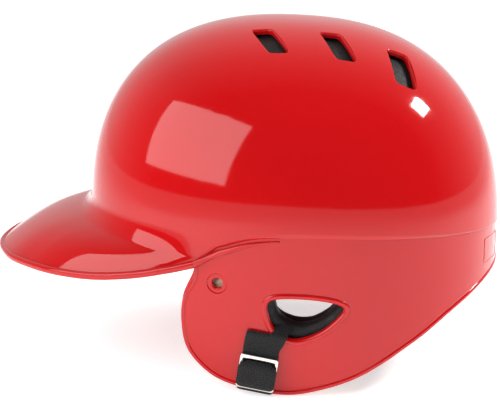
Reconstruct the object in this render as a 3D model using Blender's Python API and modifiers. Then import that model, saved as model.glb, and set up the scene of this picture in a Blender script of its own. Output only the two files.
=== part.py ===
"""Batting helmet with two ear flaps, a brim, six vents, foam padding and two strap sliders.

Metres, +Z up. The wearer faces -Y and their left ear is on the +X side. The helmet stands on its
ear flaps: the origin is under the middle of its box, on the surface that it stands on.
"""
import math

import bmesh
import bpy
from mathutils import Matrix, Vector

# ---------------------------------------------------------------- driving dimensions
# The crown is an egg-shaped dome. Its widest level, the waist, sinks slightly towards the back.
HALF_WIDTH = 0.099
FRONT_REACH = 0.1257
REAR_REACH = 0.1137
CENTRE_Y = 0.0332
DOME_HEIGHT = 0.1185
WAIST_HEIGHT = 0.07879
WAIST_SLOPE = 0.0605
PLAN_POWER = 2.25
PROFILE_POWER = 2.43
WALL_TAPER = 0.10
TAPER_DEPTH = 0.1

SHELL_THICKNESS = 0.003
SKIRT_INSET = 0.0013
SKIRT_TUCK = 0.005

# The brim's edge from its tip to the side of the crown: x, y and height above the waist.
BRIM_EDGE = (
    (0.0, -0.1466, -0.0244),
    (0.032, -0.1396, -0.0235),
    (0.052, -0.1256, -0.0226),
    (0.067, -0.1086, -0.0216),
    (0.078, -0.0876, -0.0198),
    (0.085, -0.0656, -0.0158),
    (0.088, -0.0456, -0.0108),
    (0.0896, -0.0296, -0.0060),
)
BRIM_ROOT_HEIGHT = 0.0045
BRIM_FILLET = 0.0075
BRIM_BULGE = 0.0034
BRIM_FULL_REACH = 0.04

# The crown's lower edge behind the brim: angle in degrees from +X towards +Y, height above the waist.
CROWN_EDGE = (
    (-29.0, 0.0016),
    (-18.6, 0.0083),
    (-6.7, 0.0111),
    (12.0, 0.0122),
    (50.0, 0.0121),
    (90.0, 0.0098),
)

# The flap and skirt rim from the notch under the brim to the middle of the back, in the same terms.
RIM = (
    (-35.7, -0.0068),
    (-36.3, -0.0160),
    (-39.6, -0.0282),
    (-40.7, -0.0422),
    (-39.6, -0.0580),
    (-33.8, -0.0699),
    (-25.8, -0.0755),
    (-11.8, -0.0786),
    (0.0, -0.0762),
    (16.8, -0.0658),
    (34.5, -0.0458),
    (50.0, -0.0280),
    (68.5, -0.0158),
    (90.0, -0.0127),
)
FLAP_CORNER = 3
CROWN_TAIL = 0.007

# Openings: outlines are y and height above the waist plane at the dome's middle.
EAR_HOLE = (
    (0.0082, -0.0270),
    (0.0125, -0.0203),
    (0.0300, -0.0197),
    (0.0480, -0.0226),
    (0.0535, -0.0283),
    (0.0440, -0.0390),
    (0.0330, -0.0450),
    (0.0230, -0.0462),
    (0.0130, -0.0405),
)
GUARD_HOLE_AT = (-0.0179, -0.0139)
GUARD_HOLE_RADIUS = 0.003
GUARD_SEAT_RADIUS = 0.0065
GUARD_SEAT_DEPTH = 0.0005
# Each vent: x and y of its middle, its length down the dome, its width, and how far it leans back.
VENTS = (
    ("front", 0.0404, 0.0116, 0.0255, 0.0112, 0.0098),
    ("middle", 0.0423, 0.0495, 0.0265, 0.0112, 0.0090),
    ("rear", 0.0448, 0.0851, 0.0280, 0.0125, 0.0045),
)
VENT_CORNER = 0.0022
VENT_REACH = 0.012

# Padding.
PAD_GAP = 0.0018
PAD_THICKNESS = 0.012
CROWN_PAD_THICKNESS = 0.010
CROWN_PAD_HALF_WIDTH = 0.057
CROWN_PAD_FRONT = -0.024
CROWN_PAD_LENGTH = 0.128
FOAM_THICKNESS = 0.004
EAR_PAD_THICKNESS = 0.013
WEBBING_ROOM = 0.0022
EAR_PAD_OUTLINE = (
    (-0.0230, -0.0200),
    (-0.0285, -0.0380),
    (-0.0260, -0.0540),
    (-0.0130, -0.0650),
    (0.0080, -0.0695),
    (0.0300, -0.0752),
    (0.0540, -0.0688),
    (0.0740, -0.0555),
    (0.0860, -0.0320),
    (0.0800, -0.0120),
    (0.0500, -0.0030),
    (0.0200, -0.0030),
    (-0.0080, -0.0060),
)
EAR_PAD_HOLE = (
    (0.0130, -0.0210),
    (0.0170, -0.0315),
    (0.0290, -0.0375),
    (0.0420, -0.0330),
    (0.0500, -0.0220),
    (0.0430, -0.0130),
    (0.0300, -0.0105),
    (0.0180, -0.0130),
)
FOAM_HOLE = (
    (0.0115, -0.0240),
    (0.0118, -0.0380),
    (0.0220, -0.0490),
    (0.0380, -0.0460),
    (0.0570, -0.0285),
    (0.0500, -0.0180),
    (0.0300, -0.0150),
    (0.0160, -0.0165),
)

# Strap and slider, in the strap's own frame: across, down and out.
STRAP_TOP = (0.0084, -0.0400)
STRAP_BOTTOM = (0.0030, -0.0755)
WEBBING_WIDTH = 0.0200
WEBBING_THICKNESS = 0.0012
WEBBING_CLEARANCE = 0.0013
FOLD_WIDTH = 0.0080
SLIDER_WIDTH = 0.0214
SLIDER_HEIGHT = 0.0208
SLIDER_BAR = 0.0026
SLIDER_THICKNESS = 0.0014
SLIDER_TOP = 0.0140
SLIDER_CLEARANCE = 0.0005
TONGUE_WIDTH = 0.0216
TONGUE_HEIGHT = 0.0168
TONGUE_RISE = 0.0030

CURVE_STEPS = 3
EDGE_STEPS = 3
DOME_ROWS = 9
FILLET_STEPS = 3
BRIM_ROWS = 4
SKIRT_ROWS = 6
SKIRT_COLUMNS = 34


# ---------------------------------------------------------------- scene and materials
def clear_scene():
    for obj in list(bpy.data.objects):
        bpy.data.objects.remove(obj, do_unlink=True)


def new_collection(name):
    collection = bpy.data.collections.new(name)
    bpy.context.scene.collection.children.link(collection)
    return collection


def make_material(name, color, roughness, metallic=0.0):
    material = bpy.data.materials.new(name)
    material.use_nodes = True
    shader = material.node_tree.nodes["Principled BSDF"]
    shader.inputs["Base Color"].default_value = (*color, 1.0)
    shader.inputs["Roughness"].default_value = roughness
    shader.inputs["Metallic"].default_value = metallic
    material.diffuse_color = (*color, 1.0)
    return material


clear_scene()
HELMET = new_collection("batting_helmet")
CUTTERS = new_collection("cutters")
SHELL_RED = (0.62, 0.006, 0.008)
PAD_BLACK = (0.012, 0.012, 0.013)
FOAM_CREAM = (0.78, 0.70, 0.55)
WEBBING_BLACK = (0.010, 0.010, 0.011)
NICKEL = (0.70, 0.69, 0.66)


def own_material(name, color, roughness, metallic=0.0):
    """A material of a sub-part's own, named after it."""
    return make_material(name + "_material", color, roughness, metallic)


# ---------------------------------------------------------------- lines and surfaces
def smooth_line(points, steps, closed=False):
    """Points along a smooth line through the given ones, with `steps` to each stretch."""
    vectors = [Vector(point) for point in points]
    count = len(vectors)
    stretches = count if closed else count - 1
    line = []
    for index in range(stretches):
        if closed:
            before, start, end, after = (vectors[(index + shift) % count] for shift in (-1, 0, 1, 2))
        else:
            start, end = vectors[index], vectors[index + 1]
            before = vectors[index - 1] if index else start * 2 - end
            after = vectors[index + 2] if index + 2 < count else end * 2 - start
        for step in range(steps):
            t = step / steps
            line.append(0.5 * (
                start * 2
                + (end - before) * t
                + (before * 2 - start * 5 + end * 4 - after) * t ** 2
                + (start * 3 - before - end * 3 + after) * t ** 3
            ))
    if not closed:
        line.append(vectors[-1])
    return line


def plan_radius(angle, inset=0.0):
    """The waist outline's distance from the dome's axis."""
    reach = FRONT_REACH if math.sin(angle) < 0 else REAR_REACH
    across = abs(math.cos(angle)) / (HALF_WIDTH - inset)
    along = abs(math.sin(angle)) / (reach - inset)
    return (across ** PLAN_POWER + along ** PLAN_POWER) ** (-1 / PLAN_POWER)


def placed(angle, radius, level):
    """The point at a plan angle and radius, `level` above the sloping waist."""
    x = radius * math.cos(angle)
    y = CENTRE_Y + radius * math.sin(angle)
    return Vector((x, y, WAIST_HEIGHT - WAIST_SLOPE * (y - CENTRE_Y) + level))


def dome_point(angle, climb, inset=0.0):
    """A point of the dome: climb is 0 at the waist and a quarter turn at the top."""
    power = PROFILE_POWER
    stretch = (math.cos(climb) ** power + math.sin(climb) ** power) ** (-1 / power)
    radius = plan_radius(angle, inset) * stretch * math.cos(climb)
    return placed(angle, radius, (DOME_HEIGHT - inset) * stretch * math.sin(climb))


def dome_climb(level, inset=0.0):
    """The climb at which the dome is `level` above the waist."""
    height = level / (DOME_HEIGHT - inset)
    return math.atan2(height, (1 - height ** PROFILE_POWER) ** (1 / PROFILE_POWER))


def dome_above(x, y, inset=0.0):
    """The dome's point over a plan position."""
    angle = math.atan2(y - CENTRE_Y, x)
    share = math.hypot(x, y - CENTRE_Y) / plan_radius(angle, inset)
    level = (DOME_HEIGHT - inset) * (1 - share ** PROFILE_POWER) ** (1 / PROFILE_POWER)
    return Vector((x, y, WAIST_HEIGHT - WAIST_SLOPE * (y - CENTRE_Y) + level))


def wall_point(angle, level, inset=0.0):
    """A point of the side wall near and below the waist, which turns in as it goes down."""
    if level > 0:
        return dome_point(angle, dome_climb(level, inset), inset)
    shrink = 1 - WALL_TAPER * (level / TAPER_DEPTH) ** 2
    return placed(angle, plan_radius(angle, inset) * shrink, level)


def wall_at(y, height, inset=0.0):
    """The left wall's point at a given y, `height` above the waist at the dome's middle."""
    level = height + WAIST_SLOPE * (y - CENTRE_Y)
    shrink = 1 - WALL_TAPER * (min(level, 0.0) / TAPER_DEPTH) ** 2
    reach = (FRONT_REACH if y < CENTRE_Y else REAR_REACH) - inset
    share = abs(y - CENTRE_Y) / (reach * shrink)
    x = (HALF_WIDTH - inset) * shrink * (1 - share ** PLAN_POWER) ** (1 / PLAN_POWER)
    return Vector((x, y, WAIST_HEIGHT + height))


def surface_normal(at, inset=0.0):
    """The left wall's outward direction."""
    y, height = at
    step = 0.001
    along = wall_at(y + step, height, inset) - wall_at(y - step, height, inset)
    up = wall_at(y, height + step, inset) - wall_at(y, height - step, inset)
    return along.cross(up).normalized()


# ---------------------------------------------------------------- object helpers
def add_object(name, mesh, collection, material=None):
    obj = bpy.data.objects.new(name, mesh)
    collection.objects.link(obj)
    if material:
        mesh.materials.append(material)
    return obj


def grid_mesh(name, rows, closed=False):
    """A sheet of quads through rows of points; points that meet are merged."""
    bm = bmesh.new()
    grid = [[bm.verts.new(point) for point in row] for row in rows]
    last = len(rows) if closed else len(rows) - 1
    for index in range(last):
        upper, lower = grid[index], grid[(index + 1) % len(rows)]
        for column in range(len(upper) - 1):
            bm.faces.new((upper[column], upper[column + 1], lower[column + 1], lower[column]))
    bmesh.ops.remove_doubles(bm, verts=bm.verts, dist=1e-6)
    mesh = bpy.data.meshes.new(name)
    bm.to_mesh(mesh)
    bm.free()
    return mesh


def loft_mesh(name, loops):
    """A closed solid through loops of points, capped at both ends."""
    bm = bmesh.new()
    rings = [[bm.verts.new(point) for point in loop] for loop in loops]
    size = len(rings[0])
    for lower, upper in zip(rings, rings[1:]):
        for index in range(size):
            after = (index + 1) % size
            bm.faces.new((lower[index], lower[after], upper[after], upper[index]))
    bm.faces.new(reversed(rings[0]))
    bm.faces.new(rings[-1])
    bmesh.ops.recalc_face_normals(bm, faces=bm.faces)
    mesh = bpy.data.meshes.new(name)
    bm.to_mesh(mesh)
    bm.free()
    return mesh


def add_solidify(obj, thickness):
    modifier = obj.modifiers.new("wall", "SOLIDIFY")
    modifier.thickness = thickness
    modifier.offset = -1.0


def add_mirror(obj):
    modifier = obj.modifiers.new("both_sides", "MIRROR")
    modifier.merge_threshold = 0.0001
    modifier.use_clip = True


def add_boolean(obj, operand, operation):
    modifier = obj.modifiers.new(operand.name, "BOOLEAN")
    modifier.object = operand
    modifier.operation = operation
    modifier.solver = "EXACT"


def as_cutter(obj):
    obj.hide_render = True
    obj.display_type = "WIRE"
    return obj


def outline_cutter(name, outline, low_x, high_x):
    """A prism along X through a smooth closed outline in y and height."""
    line = smooth_line(outline, CURVE_STEPS, closed=True)
    loops = [[(x, point[0], WAIST_HEIGHT + point[1]) for point in line] for x in (low_x, high_x)]
    return as_cutter(add_object(name, loft_mesh(name, loops), CUTTERS))


def apply_modifiers(obj):
    """Keep the evaluated mesh, so that a mirrored copy can share its shape."""
    graph = bpy.context.evaluated_depsgraph_get()
    mesh = bpy.data.meshes.new_from_object(obj.evaluated_get(graph))
    mesh.name = obj.name
    obj.modifiers.clear()
    obj.data = mesh


def mirrored_mesh(mesh, name):
    bm = bmesh.new()
    bm.from_mesh(mesh)
    for vertex in bm.verts:
        vertex.co.x = -vertex.co.x
    bmesh.ops.reverse_faces(bm, faces=bm.faces)
    copy = bpy.data.meshes.new(name)
    bm.to_mesh(copy)
    bm.free()
    return copy


def both_sides(obj, name, color, roughness, metallic=0.0):
    """Name a left-hand piece NAME_left and add its mirror image as NAME_right."""
    apply_modifiers(obj)
    obj.name = name + "_left"
    obj.data.materials.clear()
    obj.data.materials.append(own_material(obj.name, color, roughness, metallic))
    right = name + "_right"
    material = own_material(right, color, roughness, metallic)
    twin = add_object(right, mirrored_mesh(obj.data, right), HELMET)
    twin.data.materials.clear()
    twin.data.materials.append(material)
    return obj, twin


# ---------------------------------------------------------------- shell
def brim_profile(edge):
    """A section from the dome out over the brim to one point of its edge: its angle, climb and points."""
    x, y, level = edge
    angle = math.atan2(y - CENTRE_Y, x)
    wall_radius = plan_radius(angle)
    overhang = max(math.hypot(x, y - CENTRE_Y) - wall_radius, 0.0)
    climb = dome_climb(BRIM_ROOT_HEIGHT + BRIM_FILLET)
    top = dome_point(angle, climb)
    start = Vector((math.hypot(top.x, top.y - CENTRE_Y), BRIM_ROOT_HEIGHT + BRIM_FILLET))
    corner = Vector((wall_radius, BRIM_ROOT_HEIGHT))
    end = Vector((wall_radius + overhang, level))
    slope = (end - corner).normalized()
    foot = corner + slope * BRIM_FILLET
    section = []
    for step in range(FILLET_STEPS + 1):
        t = step / FILLET_STEPS
        section.append(start.lerp(corner, t).lerp(corner.lerp(foot, t), t))
    outward = Vector((-slope.y, slope.x))
    bulge = BRIM_BULGE * min(overhang / BRIM_FULL_REACH, 1.0)
    for row in range(1, BRIM_ROWS + 1):
        t = row / BRIM_ROWS
        section.append(foot.lerp(end, t) + outward * bulge * math.sin(math.pi * t))
    return angle, climb, [placed(angle, at.x, at.y) for at in section]


def crown_columns():
    """The crown's sections, from the tip of the brim round the left side to the middle of the back."""
    second = BRIM_EDGE[1]
    far_side = (-second[0], *second[1:])
    brim_line = smooth_line((far_side, *BRIM_EDGE), EDGE_STEPS)[EDGE_STEPS:]
    sections = [brim_profile(edge) for edge in brim_line]
    last = len(sections[0][2]) - 1
    for degrees, level in smooth_line(CROWN_EDGE, EDGE_STEPS):
        angle = math.radians(degrees)
        top = max(BRIM_ROOT_HEIGHT + BRIM_FILLET, level + CROWN_TAIL)
        tail = [wall_point(angle, top + (level - top) * row / last) for row in range(last + 1)]
        sections.append((angle, dome_climb(top), tail))
    columns = []
    for angle, climb, tail in sections:
        fall = climb - math.pi / 2
        dome = [dome_point(angle, math.pi / 2 + fall * row / DOME_ROWS) for row in range(DOME_ROWS)]
        columns.append(dome + tail)
    return columns


def edge_level(angle_degrees):
    """The crown edge's height above the waist at an angle behind the brim."""
    first = (math.degrees(math.atan2(BRIM_EDGE[-1][1] - CENTRE_Y, BRIM_EDGE[-1][0])), BRIM_EDGE[-1][2])
    line = smooth_line((first, *CROWN_EDGE), 6)
    for start, end in zip(line, line[1:]):
        if angle_degrees <= end.x:
            share = max((angle_degrees - start.x) / (end.x - start.x), 0.0)
            return start.y + (end.y - start.y) * share
    return line[-1].y


def spaced(line, count):
    """Points evenly spaced along a line of wall places, each an angle in degrees and a level."""
    lengths = [0.0]
    for start, end in zip(line, line[1:]):
        step = Vector((math.radians(end.x - start.x) * HALF_WIDTH, end.y - start.y))
        lengths.append(lengths[-1] + step.length)
    points = []
    stretch = 0
    for index in range(count + 1):
        wanted = lengths[-1] * index / count
        while stretch < len(line) - 2 and lengths[stretch + 1] < wanted:
            stretch += 1
        share = (wanted - lengths[stretch]) / (lengths[stretch + 1] - lengths[stretch])
        points.append(line[stretch].lerp(line[stretch + 1], share))
    return points


def skirt_columns():
    """The skirt and flap's sections, from the flap's front edge to the middle of the back."""
    outline = smooth_line(RIM, 8)
    corner = 8 * FLAP_CORNER
    front = spaced(outline[:corner + 1], SKIRT_ROWS)
    rim = spaced(outline[corner:], SKIRT_COLUMNS)
    start_angle, end_angle = RIM[0][0], RIM[-1][0]
    columns = []
    for index, low in enumerate(rim):
        share = index / SKIRT_COLUMNS
        top_angle = start_angle + (end_angle - start_angle) * share
        top = Vector((top_angle, edge_level(top_angle) + SKIRT_TUCK))
        points = []
        for row in range(SKIRT_ROWS + 1):
            down = row / SKIRT_ROWS
            bow = front[row] - front[0].lerp(front[-1], down)
            at = top.lerp(low, down) + bow * (1 - share) ** 6
            points.append(wall_point(math.radians(at.x), at.y, SKIRT_INSET))
        columns.append(points)
    return columns


def vent_cutter(name, x, y, length, width, lean):
    """A leaning slot through the dome, square to its surface and open past both faces."""
    centre = dome_above(x, y)
    step = 0.002
    down = (dome_above(x + step, y) - dome_above(x - step, y)).normalized()
    back = (dome_above(x, y + step) - dome_above(x, y - step)).normalized()
    out = down.cross(back).normalized()
    back = out.cross(down)
    corners = []
    for side_down, side_back in ((-1, -1), (-1, 1), (1, 1), (1, -1)):
        corners.append(Vector((side_down * length / 2, side_back * width / 2 + side_down * lean / 2)))
    line = []
    for index, corner in enumerate(corners):
        before = (corners[index - 1] - corner).normalized() * VENT_CORNER
        after = (corners[(index + 1) % 4] - corner).normalized() * VENT_CORNER
        for t in (0.0, 0.5, 1.0):
            line.append(corner + before * (1 - t) ** 2 + after * t ** 2)
    loops = []
    for depth in (-VENT_REACH, VENT_REACH):
        loops.append([centre + down * at.x + back * at.y + out * depth for at in line])
    cutter = add_object(name, loft_mesh(name, loops), CUTTERS)
    return as_cutter(cutter)


def cylinder_cutter(name, centre, direction, radius, low, high):
    """A round cutter along a direction, from `low` to `high` of its centre."""
    bm = bmesh.new()
    turn = direction.to_track_quat("Z", "Y").to_matrix().to_4x4()
    place = Matrix.Translation(centre + direction * (low + high) / 2) @ turn
    bmesh.ops.create_cone(
        bm, cap_ends=True, segments=24, radius1=radius, radius2=radius, depth=high - low, matrix=place
    )
    mesh = bpy.data.meshes.new(name)
    bm.to_mesh(mesh)
    bm.free()
    return as_cutter(add_object(name, mesh, CUTTERS))


def mirrored_cutter(cutter):
    name = cutter.name + "_right"
    return as_cutter(add_object(name, mirrored_mesh(cutter.data, name), CUTTERS))


def make_shell():
    crown = add_object("shell", grid_mesh("shell", crown_columns()), HELMET)
    crown.data.materials.append(own_material("shell", SHELL_RED, 0.08))
    add_mirror(crown)
    add_solidify(crown, SHELL_THICKNESS)
    skirt = add_object("skirt", grid_mesh("skirt", skirt_columns()), CUTTERS)
    add_mirror(skirt)
    add_solidify(skirt, SHELL_THICKNESS)
    as_cutter(skirt)
    add_boolean(crown, skirt, "UNION")
    add_boolean(crown, outline_cutter("ear_holes", EAR_HOLE, -0.13, 0.13), "DIFFERENCE")
    for name, *shape in VENTS:
        cutter = vent_cutter("vent_" + name, *shape)
        add_boolean(crown, cutter, "DIFFERENCE")
        add_boolean(crown, mirrored_cutter(cutter), "DIFFERENCE")
    seat = wall_at(*GUARD_HOLE_AT, SKIRT_INSET)
    out = surface_normal(GUARD_HOLE_AT, SKIRT_INSET)
    seat_cutter = cylinder_cutter("guard_seat", seat, out, GUARD_SEAT_RADIUS, -GUARD_SEAT_DEPTH, 0.003)
    hole_cutter = cylinder_cutter("guard_hole", seat, out, GUARD_HOLE_RADIUS, -0.008, 0.004)
    for cutter in (seat_cutter, hole_cutter):
        add_boolean(crown, cutter, "DIFFERENCE")
        add_boolean(crown, mirrored_cutter(cutter), "DIFFERENCE")
    return crown


# ---------------------------------------------------------------- padding
def dome_pad(name, angles, levels, thickness, columns=8, rows=5, extra=0.0):
    """A cushion on the dome's inside between two angles (degrees) and two levels above the waist.

    `extra` is how much further in the wall behind it lies.
    """
    inset = SHELL_THICKNESS + PAD_GAP + extra
    grid = []
    for column in range(columns + 1):
        angle = math.radians(angles[0] + (angles[1] - angles[0]) * column / columns)
        points = []
        for row in range(rows + 1):
            level = levels[1] + (levels[0] - levels[1]) * row / rows
            points.append(wall_point(angle, level, inset))
        grid.append(points)
    pad = add_object(name, grid_mesh(name, grid), HELMET)
    add_solidify(pad, thickness)
    pad.data.materials.append(own_material(name, PAD_BLACK, 0.55))
    return pad


def crown_pad():
    """The wide cushion over the top of the head, behind the vents."""
    inset = SHELL_THICKNESS + PAD_GAP
    half = CROWN_PAD_HALF_WIDTH
    grid = []
    for column in range(13):
        y = CROWN_PAD_FRONT + CROWN_PAD_LENGTH * column / 12
        grid.append([dome_above(half * (row / 5 - 1), y, inset) for row in range(11)])
    pad = add_object("crown_pad", grid_mesh("crown_pad", grid), HELMET)
    add_solidify(pad, CROWN_PAD_THICKNESS)
    pad.data.materials.append(own_material("crown_pad", PAD_BLACK, 0.55))
    return pad


def flap_layer(name, outline, hole, inset, thickness):
    """A layer lying inside the left flap, cut to an outline with an opening for the ear."""
    grid = []
    for column in range(15):
        angle = math.radians(-42.0 + 84.0 * column / 14)
        grid.append([wall_point(angle, 0.010 - 0.088 * row / 8, inset) for row in range(9)])
    layer = add_object(name, grid_mesh(name, grid), HELMET)
    add_solidify(layer, thickness)
    add_boolean(layer, outline_cutter(name + "_outline", outline, 0.03, 0.13), "INTERSECT")
    add_boolean(layer, outline_cutter(name + "_opening", hole, 0.02, 0.14), "DIFFERENCE")
    return layer


def make_padding():
    crown_pad()
    dome_pad("forehead_pad", (-125.0, -55.0), (0.024, 0.056), PAD_THICKNESS, columns=12)
    dome_pad("sweatband", (-128.0, -52.0), (0.0065, 0.022), 0.007, columns=14, rows=3)
    dome_pad("rear_pad", (62.0, 118.0), (0.020, 0.060), PAD_THICKNESS, columns=10)
    dome_pad("nape_pad", (66.0, 114.0), (-0.006, 0.016), 0.010, columns=9, rows=3, extra=SKIRT_INSET)
    temple = dome_pad("temple_pad", (-50.0, -22.0), (0.024, 0.056), PAD_THICKNESS)
    both_sides(temple, "temple_pad", PAD_BLACK, 0.55)
    side = dome_pad("side_pad", (-17.0, 20.0), (0.020, 0.058), PAD_THICKNESS)
    both_sides(side, "side_pad", PAD_BLACK, 0.55)
    back = dome_pad("back_pad", (25.0, 57.0), (0.020, 0.058), PAD_THICKNESS)
    both_sides(back, "back_side_pad", PAD_BLACK, 0.55)
    foam_inset = SKIRT_INSET + SHELL_THICKNESS + WEBBING_ROOM
    foam = flap_layer("ear_foam", EAR_PAD_OUTLINE, FOAM_HOLE, foam_inset, FOAM_THICKNESS)
    both_sides(foam, "ear_foam", FOAM_CREAM, 0.9)
    pad_inset = foam_inset + FOAM_THICKNESS + PAD_GAP
    pad = flap_layer("ear_pad", EAR_PAD_OUTLINE, EAR_PAD_HOLE, pad_inset, EAR_PAD_THICKNESS)
    both_sides(pad, "ear_pad", PAD_BLACK, 0.5)


# ---------------------------------------------------------------- straps and sliders
def strap_frame():
    """The strap's own frame on the left flap, from its top middle: towards the brim, down and out."""
    top = wall_at(*STRAP_TOP, SKIRT_INSET)
    bottom = wall_at(*STRAP_BOTTOM, SKIRT_INSET)
    down = (bottom - top).normalized()
    middle = ((STRAP_TOP[0] + STRAP_BOTTOM[0]) / 2, (STRAP_TOP[1] + STRAP_BOTTOM[1]) / 2)
    out = surface_normal(middle, SKIRT_INSET)
    across = down.cross(out).normalized()
    out = across.cross(down)
    turn = Matrix((across, down, out)).transposed().to_4x4()
    return Matrix.Translation(top) @ turn, (bottom - top).length


def strip_loop(place, centre, width, direction, thickness):
    """A webbing section: centre is across, down and out; direction is the strip's run."""
    across, down, out = centre
    run = Vector((direction[0], direction[1])).normalized()
    face = Vector((run.y, -run.x))
    loop = []
    for side, rise in ((-1, -1), (1, -1), (1, 1), (-1, 1)):
        shift = face * rise * thickness / 2
        local = Vector((across + side * width / 2, down - shift.x, out - shift.y))
        loop.append(place @ local)
    return loop


def make_strap():
    """Webbing that leaves the ear hole, runs down the flap and tucks in under its rim."""
    place, length = strap_frame()
    half = WEBBING_THICKNESS / 2
    face = WEBBING_CLEARANCE + half
    inner = -SHELL_THICKNESS - 0.0008 - half
    end = length + 0.0004 + half
    # Across, down, out, width.
    route = (
        (-0.0130, 0.0000, inner + 0.0014, FOLD_WIDTH),
        (-0.0127, 0.0004, -0.0010, FOLD_WIDTH),
        (-0.0112, 0.0020, face, FOLD_WIDTH + 0.001),
        (-0.0045, 0.0062, face, WEBBING_WIDTH - 0.006),
        (0.0, 0.0105, face, WEBBING_WIDTH),
        (0.0, length * 0.6, face, WEBBING_WIDTH),
        (0.0, end - 0.0014, face, WEBBING_WIDTH),
        (0.0, end, face - 0.0012, WEBBING_WIDTH),
        (0.0, end, inner + 0.0012, WEBBING_WIDTH),
        (0.0, end - 0.0014, inner, WEBBING_WIDTH),
        (0.0, end - 0.0040, inner, WEBBING_WIDTH),
    )
    points = [Vector(at[:3]) for at in route]
    loops = []
    for index, at in enumerate(route):
        before = points[max(index - 1, 0)]
        after = points[min(index + 1, len(points) - 1)]
        run = (after - before)
        loops.append(strip_loop(place, at[:3], at[3], (run.y, run.z), WEBBING_THICKNESS))
    mesh = loft_mesh("strap", loops)
    strap = add_object("strap", mesh, HELMET)
    return both_sides(strap, "strap", WEBBING_BLACK, 0.8)


def slider_face():
    """How far out of the flap the sliders lie."""
    return WEBBING_CLEARANCE + WEBBING_THICKNESS + SLIDER_CLEARANCE


def box_at(bm, place, low, high):
    """Add a box between two corners given across, down and out."""
    size = Vector(high) - Vector(low)
    centre = (Vector(high) + Vector(low)) / 2
    matrix = place @ Matrix.Translation(centre) @ Matrix.Diagonal((*size, 1.0))
    bmesh.ops.create_cube(bm, size=1.0, matrix=matrix)


def make_slider():
    """The nickel frame on the webbing: a flat window frame with a bar across its middle."""
    place, _ = strap_frame()
    low_out = slider_face()
    high_out = low_out + SLIDER_THICKNESS
    half = SLIDER_WIDTH / 2
    bottom = SLIDER_TOP + SLIDER_HEIGHT
    bm = bmesh.new()
    box_at(bm, place, (-half, SLIDER_TOP, low_out), (half, bottom, high_out))
    mesh = bpy.data.meshes.new("slider")
    bm.to_mesh(mesh)
    bm.free()
    slider = add_object("slider", mesh, HELMET)
    bevel = slider.modifiers.new("corners", "BEVEL")
    bevel.width = 0.0004
    bevel.segments = 1
    middle = (SLIDER_TOP + bottom) / 2
    windows = (
        (SLIDER_TOP + SLIDER_BAR, middle - SLIDER_BAR / 2),
        (middle + SLIDER_BAR / 2, bottom - SLIDER_BAR),
    )
    for index, (start, end) in enumerate(windows):
        window = bmesh.new()
        inner = half - SLIDER_BAR * 0.7
        box_at(window, place, (-inner, start, low_out - 0.002), (inner, end, high_out + 0.002))
        name = "slider_window_" + str(index)
        mesh = bpy.data.meshes.new(name)
        window.to_mesh(mesh)
        window.free()
        add_boolean(slider, as_cutter(add_object(name, mesh, CUTTERS)), "DIFFERENCE")
    return both_sides(slider, "slider", NICKEL, 0.25, 1.0)


def make_keeper():
    """The short length of webbing that wraps the slider's middle bar, seen as its black tongue."""
    place, _ = strap_frame()
    face = slider_face() + SLIDER_THICKNESS + 0.0003
    start = SLIDER_TOP + 0.0021
    stretch = TONGUE_HEIGHT
    shape = (
        (0.0, 0.0, 0.55),
        (0.12, 0.75, 0.92),
        (0.30, 1.0, 1.0),
        (0.70, 1.0, 1.0),
        (1.0, 0.2, 1.0),
    )
    loops = []
    for along, rise, width in shape:
        down = start + stretch * along
        half = TONGUE_WIDTH * width / 2
        top = face + WEBBING_THICKNESS + (TONGUE_RISE - WEBBING_THICKNESS) * rise
        loop = [(-half, down, face), (half, down, face), (half, down, top), (-half, down, top)]
        loops.append([place @ Vector(corner) for corner in loop])
    keeper = add_object("keeper", loft_mesh("keeper", loops), HELMET)
    return both_sides(keeper, "slider_keeper", WEBBING_BLACK, 0.8)


def set_slide_origins(objects):
    """Put each moving piece's origin on its slide line, at the middle of the slider."""
    place, _ = strap_frame()
    pivot = place @ Vector((0.0, SLIDER_TOP + SLIDER_HEIGHT / 2, slider_face()))
    for obj in objects:
        side = -1.0 if obj.name.endswith("_right") else 1.0
        origin = Vector((pivot.x * side, pivot.y, pivot.z))
        obj.data.transform(Matrix.Translation(-origin))
        obj.location = origin


def shade_all():
    for obj in HELMET.objects:
        obj.data.shade_smooth()
        obj.data.set_sharp_from_angle(angle=math.radians(35.0))


make_shell()
make_padding()
make_strap()
set_slide_origins([*make_slider(), *make_keeper()])
shade_all()
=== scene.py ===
"""Batting helmet: the visible surfaces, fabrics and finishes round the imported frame, and the studio.

Metres, +Z up, in the CAD model's frame: the wearer faces -Y and their left ear is on +X.
"""
import math

import bmesh
import bpy
from mathutils import Matrix, Vector
from mathutils.bvhtree import BVHTree
from mathutils.interpolate import poly_3d_calc


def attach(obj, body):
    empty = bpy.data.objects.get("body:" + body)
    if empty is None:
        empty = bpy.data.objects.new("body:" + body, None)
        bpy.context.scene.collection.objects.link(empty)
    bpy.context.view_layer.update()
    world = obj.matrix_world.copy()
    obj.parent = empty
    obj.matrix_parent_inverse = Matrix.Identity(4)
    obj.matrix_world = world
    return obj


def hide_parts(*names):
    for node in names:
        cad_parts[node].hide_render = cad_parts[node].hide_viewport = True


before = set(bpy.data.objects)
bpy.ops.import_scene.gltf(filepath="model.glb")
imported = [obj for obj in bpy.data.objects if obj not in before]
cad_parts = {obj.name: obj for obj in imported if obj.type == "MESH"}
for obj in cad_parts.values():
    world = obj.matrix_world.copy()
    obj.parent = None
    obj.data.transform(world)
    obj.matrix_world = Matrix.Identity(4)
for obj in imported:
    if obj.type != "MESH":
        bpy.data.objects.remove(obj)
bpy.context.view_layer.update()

# ---------------------------------------------------------------- sizes shared with the CAD model
HALF_WIDTH = 0.099
FRONT_REACH = 0.1257
REAR_REACH = 0.1137
CENTRE_Y = 0.0332
DOME_HEIGHT = 0.1185
WAIST_HEIGHT = 0.07879
WAIST_SLOPE = 0.0605
PLAN_POWER = 2.25
PROFILE_POWER = 2.43
WALL_TAPER = 0.10
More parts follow.
